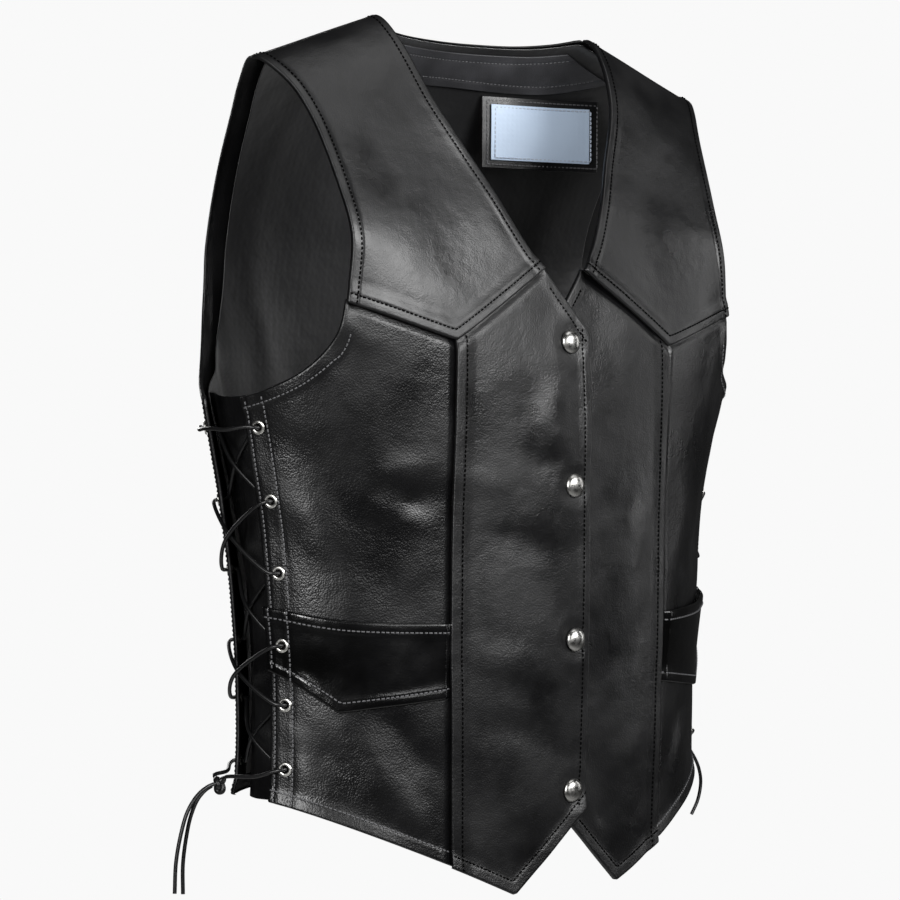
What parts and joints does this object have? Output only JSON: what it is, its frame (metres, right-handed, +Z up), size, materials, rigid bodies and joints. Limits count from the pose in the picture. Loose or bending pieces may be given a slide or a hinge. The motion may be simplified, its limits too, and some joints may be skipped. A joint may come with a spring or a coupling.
{
  "type": "leather vest",
  "caption": "Hip-length V-neck leather vest with pointed yokes, snapped front, pocket flaps and sides laced through eyelets over a gusset.",
  "frame": {"origin": "midway between the two shoulder seams, level with the middle of each seam, where the wearer's shoulders hold the vest up", "axes": "+Z up, -Y the way the wearer faces, +X the wearer's left"},
  "size_m": [0.4893, 0.2135, 0.6047],
  "materials": {
    "leather": "semi-gloss milled grain",
    "lining": "matte woven lining",
    "label": "satin woven label, bare",
    "nickel": "nickel plated",
    "lace": "round waxed lace"
  },
  "bodies": {
    "root": {"front_yoke_left": "leather", "front_yoke_right": "leather", "centre_front_left": "leather", "centre_front_right": "leather", "side_front_upper_left": "leather", "side_front_upper_right": "leather", "side_front_lower_left": "leather", "side_front_lower_right": "leather", "pocket_flap_left": "leather", "pocket_flap_right": "leather", "back": "leather", "back_lining": "lining", "neck_facing": "leather", "label_patch": "leather", "label": "label", "side_gusset_left": "leather", "side_gusset_right": "leather", "eyelet_front_1_left": "nickel", "eyelet_front_2_left": "nickel", "eyelet_front_3_left": "nickel", "eyelet_front_4_left": "nickel", "eyelet_front_5_left": "nickel", "eyelet_front_6_left": "nickel", "eyelet_back_1_left": "nickel", "eyelet_back_2_left": "nickel", "eyelet_back_3_left": "nickel", "eyelet_back_4_left": "nickel", "eyelet_back_5_left": "nickel", "eyelet_back_6_left": "nickel", "eyelet_front_1_right": "nickel", "eyelet_front_2_right": "nickel", "eyelet_front_3_right": "nickel", "eyelet_front_4_right": "nickel", "eyelet_front_5_right": "nickel", "eyelet_front_6_right": "nickel", "eyelet_back_1_right": "nickel", "eyelet_back_2_right": "nickel", "eyelet_back_3_right": "nickel", "eyelet_back_4_right": "nickel", "eyelet_back_5_right": "nickel", "eyelet_back_6_right": "nickel", "snap_cap_1": "nickel", "snap_cap_2": "nickel", "snap_cap_3": "nickel", "snap_cap_4": "nickel", "snap_stud_1": "nickel", "snap_stud_2": "nickel", "snap_stud_3": "nickel", "snap_stud_4": "nickel", "lace_front_left": "lace", "lace_front_right": "lace", "lace_back_left": "lace", "lace_back_right": "lace", "lace_end_front_left": "lace", "lace_end_front_right": "lace", "lace_end_back_left": "lace", "lace_end_back_right": "lace", "lace_knot_left": "lace", "lace_knot_right": "lace"}
  },
  "joints": []
}
